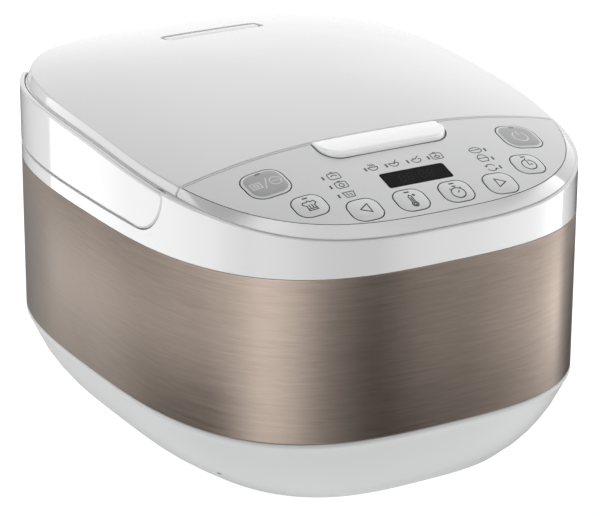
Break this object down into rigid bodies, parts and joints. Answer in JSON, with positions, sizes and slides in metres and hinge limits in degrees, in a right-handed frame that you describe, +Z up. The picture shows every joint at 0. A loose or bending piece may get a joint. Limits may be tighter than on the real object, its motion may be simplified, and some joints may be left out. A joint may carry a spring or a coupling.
{
  "type": "rice cooker",
  "caption": "Oval rice cooker with a brushed metal band, domed hinged lid, front control panel, latch release button and folding carrying handle.",
  "frame": {"origin": "on the floor, at the centre of the plan outline", "axes": "+Z up, -Y towards the front with the control panel, +X to the right seen from the front"},
  "size_m": [0.284, 0.3568, 0.2213],
  "materials": {
    "white_plastic": "glossy white moulded plastic",
    "panel_film": "satin light grey control film",
    "key_grey": "satin mid grey key",
    "key_light": "satin light grey key",
    "display_lens": "gloss black display window",
    "champagne_band": "horizontally brushed, champagne tinted",
    "steel": "plain steel",
    "aluminium": "satin aluminium",
    "pot_coating": "dark non-stick coating",
    "grey_plastic": "light grey moulded plastic",
    "dark_plastic": "black moulded plastic",
    "rubber": "dark grey rubber",
    "silicone": "translucent white silicone",
    "circuit": "green circuit board with parts"
  },
  "bodies": {
    "cooker": {"base_housing": "white_plastic", "foot_front_left": "rubber", "foot_front_right": "rubber", "foot_rear_left": "rubber", "foot_rear_right": "rubber", "power_inlet": "dark_plastic", "inlet_pin_left": "steel", "inlet_pin_middle": "steel", "inlet_pin_right": "steel", "outer_shell": "champagne_band", "upper_housing": "white_plastic", "base_screw_front_left": "steel", "base_screw_front_right": "steel", "base_screw_rear_left": "steel", "base_screw_rear_right": "steel", "handle_pivot_left": "steel", "handle_pivot_right": "steel", "inner_liner": "aluminium", "side_heater": "silicone", "heating_plate": "aluminium", "thermostat_spring": "steel", "thermostat_bracket": "steel", "thermal_fuse": "dark_plastic", "inner_pot": "pot_coating", "power_board": "circuit", "panel_housing": "white_plastic", "control_film": "panel_film", "display_window": "display_lens", "display_module": "dark_plastic", "control_board": "circuit", "release_spring_left": "steel", "release_spring_right": "steel", "latch_pin": "steel", "hinge_pin": "steel", "hinge_spring_left": "steel", "hinge_spring_right": "steel"},
    "lid": {"lid_cover": "white_plastic", "lid_striker": "steel", "lid_liner": "grey_plastic", "inner_lid_plate": "aluminium", "lid_gasket": "silicone", "steam_valve_body": "grey_plastic", "steam_valve_cap": "grey_plastic", "steam_vent_cap": "white_plastic", "lid_thermistor": "aluminium"},
    "handle": {"carry_handle": "white_plastic"},
    "release": {"release_button": "white_plastic"},
    "hook": {"latch_hook": "dark_plastic"},
    "sensor": {"thermostat_sensor": "aluminium"},
    "keep_warm_button": {"keep_warm_button": "key_grey"},
    "power_button": {"power_button": "key_grey"},
    "recipe_button": {"recipe_button": "key_light"},
    "delay_button": {"delay_button": "key_light"},
    "back_arrow_button": {"back_arrow_button": "key_light"},
    "next_arrow_button": {"next_arrow_button": "key_light"},
    "temperature_button": {"temperature_button": "key_light"},
    "timer_button": {"timer_button": "key_light"}
  },
  "joints": [
    {"name": "lid_hinge", "type": "hinge", "parent": "cooker", "child": "lid", "pos_m": [0, 0.163, 0.189], "axis": [-1, 0, 0], "range_deg": [0, 80]},
    {"name": "handle_hinge", "type": "hinge", "parent": "cooker", "child": "handle", "pos_m": [0, -0.062, 0.1862], "axis": [1, 0, 0], "range_deg": [0, 90]},
    {"name": "release_press", "type": "slide", "parent": "cooker", "child": "release", "axis": [0, 0, -1], "range_m": [0, 0.003], "stiffness_N_per_m": 1500, "springref_m": -0.001, "deforming": ["release_spring_left", "release_spring_right"]},
    {"name": "hook_swing", "type": "hinge", "parent": "cooker", "child": "hook", "pos_m": [0, -0.0985, 0.176], "axis": [1, 0, 0], "range_deg": [0, 12.5]},
    {"name": "sensor_press", "type": "slide", "parent": "cooker", "child": "sensor", "axis": [0, 0, -1], "range_m": [0, 0.003], "stiffness_N_per_m": 1200, "springref_m": -0.002, "deforming": ["thermostat_spring"]},
    {"name": "keep_warm_press", "type": "slide", "parent": "cooker", "child": "keep_warm_button", "axis": [0.1272, 0.256, -0.9583], "range_m": [0, 0.0008], "stiffness_N_per_m": 2000, "springref_m": -0.0003},
    {"name": "power_press", "type": "slide", "parent": "cooker", "child": "power_button", "axis": [-0.1272, 0.256, -0.9583], "range_m": [0, 0.0008], "stiffness_N_per_m": 2000, "springref_m": -0.0003},
    {"name": "recipe_press", "type": "slide", "parent": "cooker", "child": "recipe_button", "axis": [0.0827, 0.3143, -0.9457], "range_m": [0, 0.0008], "stiffness_N_per_m": 2000, "springref_m": -0.0003},
    {"name": "delay_press", "type": "slide", "parent": "cooker", "child": "delay_button", "axis": [-0.0827, 0.3143, -0.9457], "range_m": [0, 0.0008], "stiffness_N_per_m": 2000, "springref_m": -0.0003},
    {"name": "back_arrow_press", "type": "slide", "parent": "cooker", "child": "back_arrow_button", "axis": [0.0302, 0.3455, -0.9379], "range_m": [0, 0.0008], "stiffness_N_per_m": 2000, "springref_m": -0.0003},
    {"name": "next_arrow_press", "type": "slide", "parent": "cooker", "child": "next_arrow_button", "axis": [-0.0302, 0.3455, -0.9379], "range_m": [0, 0.0008], "stiffness_N_per_m": 2000, "springref_m": -0.0003},
    {"name": "temperature_press", "type": "slide", "parent": "cooker", "child": "temperature_button", "axis": [0.0033, 0.3483, -0.9374], "range_m": [0, 0.0008], "stiffness_N_per_m": 2000, "springref_m": -0.0003},
    {"name": "timer_press", "type": "slide", "parent": "cooker", "child": "timer_button", "axis": [-0.0033, 0.3483, -0.9374], "range_m": [0, 0.0008], "stiffness_N_per_m": 2000, "springref_m": -0.0003}
  ],
  "couplings": [
    {"joint": "hook_swing", "follows": "release_press", "rad_per_m": 71.5}
  ]
}
